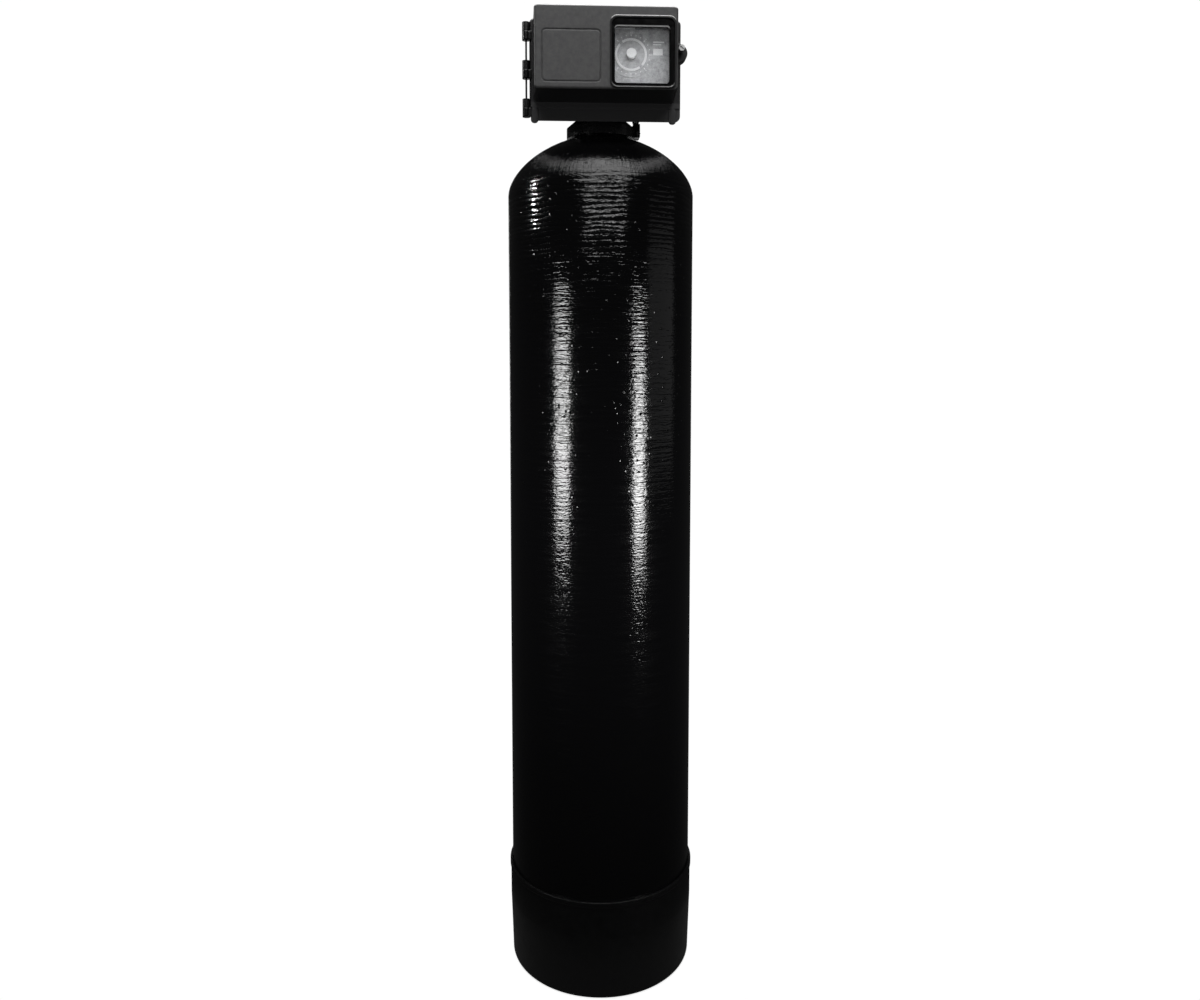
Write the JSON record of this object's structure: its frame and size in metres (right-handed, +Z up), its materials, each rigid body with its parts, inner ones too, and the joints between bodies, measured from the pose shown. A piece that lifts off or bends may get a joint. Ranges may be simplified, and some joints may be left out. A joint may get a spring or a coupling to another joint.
{
  "type": "backwashing carbon water filter",
  "caption": "Tall wound pressure tank in a flared boot, with a timer-driven control valve under a hinged cover with a clear window.",
  "frame": {"origin": "on the floor, on the tank's axis", "axes": "+X to the right, +Y to the back where the pipes join, +Z up; the cover and its window face -Y"},
  "size_m": [0.319, 0.319, 1.5849],
  "materials": {
    "wound_fibreglass": "gloss",
    "boot_plastic": "satin",
    "liner_plastic": "matte",
    "basket_plastic": "satin",
    "carbon_grains": "matte",
    "gravel": "matte",
    "valve_plastic": "satin",
    "cover_plastic": "satin",
    "clear_plastic": "gloss",
    "steel": "satin",
    "zinc_plate": "satin",
    "motor_can": "satin",
    "rubber": "matte",
    "gear_plastic": "satin",
    "dial_plastic": "satin",
    "white_plastic": "satin",
    "switch_plastic": "satin"
  },
  "bodies": {
    "tank_and_valve": {"base_boot": "boot_plastic", "tank_shell": "wound_fibreglass", "tank_liner": "liner_plastic", "neck_insert": "valve_plastic", "bottom_basket": "basket_plastic", "riser_tube": "basket_plastic", "gravel_bed": "gravel", "carbon_bed": "carbon_grains", "top_basket": "basket_plastic", "tank_adapter": "valve_plastic", "tank_o_ring": "rubber", "foot_o_ring": "rubber", "riser_o_ring": "rubber", "clamp_ring": "valve_plastic", "clamp_bolt": "steel", "valve_body": "valve_plastic", "piston_seals": "rubber", "seal_spacers": "gear_plastic", "end_plug": "gear_plastic", "rod_seal": "rubber", "drain_fitting": "valve_plastic", "flow_button": "rubber", "back_housing": "cover_plastic", "housing_screws": "steel", "hinge_pin": "steel", "drive_bracket": "zinc_plate", "drive_gearbox": "motor_can", "drive_motor": "motor_can", "limit_switches": "switch_plastic", "timer_plate": "zinc_plate", "timer_posts": "steel", "timer_motor": "motor_can", "skipper_stud": "steel", "dial_panel": "dial_plastic", "cord_gland": "valve_plastic", "gland_nut": "valve_plastic"},
    "cover": {"front_cover": "cover_plastic", "window_pane": "clear_plastic"},
    "cover_screw": {"cover_screw": "steel"},
    "drive_gear": {"drive_gear": "gear_plastic", "crank_pin": "steel", "gear_shaft": "steel", "drive_cams": "gear_plastic"},
    "drive_pinion": {"drive_pinion": "steel"},
    "piston": {"piston": "gear_plastic", "piston_rod": "steel", "drive_yoke": "gear_plastic"},
    "home_switch_lever": {"home_switch_lever": "zinc_plate"},
    "cycle_switch_lever": {"cycle_switch_lever": "zinc_plate"},
    "day_dial": {"day_gear": "gear_plastic", "day_dial": "dial_plastic", "dial_ring": "white_plastic"},
    "timer_pinion": {"timer_pinion": "gear_plastic"},
    "skipper": {"skipper_wheel": "white_plastic", "skip_tabs": "white_plastic"},
    "regeneration_knob": {"regeneration_knob": "white_plastic", "cycle_cam": "gear_plastic"}
  },
  "joints": [
    {"name": "cover_hinge", "type": "hinge", "parent": "tank_and_valve", "child": "cover", "pos_m": [-0.122, -0.072, 1.505], "axis": [0, 0, -1], "range_deg": [0, 110]},
    {"name": "cover_screw_thread", "type": "slide", "parent": "cover", "child": "cover_screw", "axis": [0, 1, 0], "range_m": [0, 0.0069]},
    {"name": "drive_gear_spin", "type": "hinge", "parent": "tank_and_valve", "child": "drive_gear", "pos_m": [0, -0.05, 1.505], "axis": [1, 0, 0], "range_deg": [0, 180]},
    {"name": "drive_pinion_spin", "type": "hinge", "parent": "tank_and_valve", "child": "drive_pinion", "pos_m": [0, -0.06277, 1.5401], "axis": [1, 0, 0], "range_deg": [-775, 0]},
    {"name": "piston_slide", "type": "slide", "parent": "tank_and_valve", "child": "piston", "axis": [0, -1, 0], "range_m": [0, 0.0261]},
    {"name": "home_lever_pivot", "type": "hinge", "parent": "tank_and_valve", "child": "home_switch_lever", "pos_m": [-0.02, -0.042, 1.5267], "axis": [-1, 0, 0], "range_deg": [0, 3.5], "stiffness_Nm_per_rad": 0.02},
    {"name": "cycle_lever_pivot", "type": "hinge", "parent": "tank_and_valve", "child": "cycle_switch_lever", "pos_m": [-0.016, -0.042, 1.4833], "axis": [1, 0, 0], "range_deg": [0, 3.5], "stiffness_Nm_per_rad": 0.02},
    {"name": "day_dial_spin", "type": "hinge", "parent": "tank_and_valve", "child": "day_dial", "pos_m": [0.042, -0.1, 1.518], "axis": [0, 1, 0], "continuous": true},
    {"name": "timer_pinion_spin", "type": "hinge", "parent": "tank_and_valve", "child": "timer_pinion", "pos_m": [0.07537, -0.1, 1.49193], "axis": [0, 1, 0], "continuous": true},
    {"name": "skipper_spin", "type": "hinge", "parent": "tank_and_valve", "child": "skipper", "pos_m": [-0.019, -0.1, 1.518], "axis": [0, 1, 0], "continuous": true},
    {"name": "regeneration_knob_spin", "type": "hinge", "parent": "tank_and_valve", "child": "regeneration_knob", "pos_m": [0.042, -0.1, 1.518], "axis": [0, 1, 0], "continuous": true}
  ],
  "couplings": [
    {"joint": "drive_pinion_spin", "follows": "drive_gear_spin", "ratio": -4.2857},
    {"joint": "piston_slide", "follows": "drive_gear_spin", "m_per_rad": 0.008276},
    {"joint": "timer_pinion_spin", "follows": "day_dial_spin", "ratio": -4.25},
    {"joint": "skipper_spin", "follows": "day_dial_spin", "ratio": -0.083333}
  ]
}
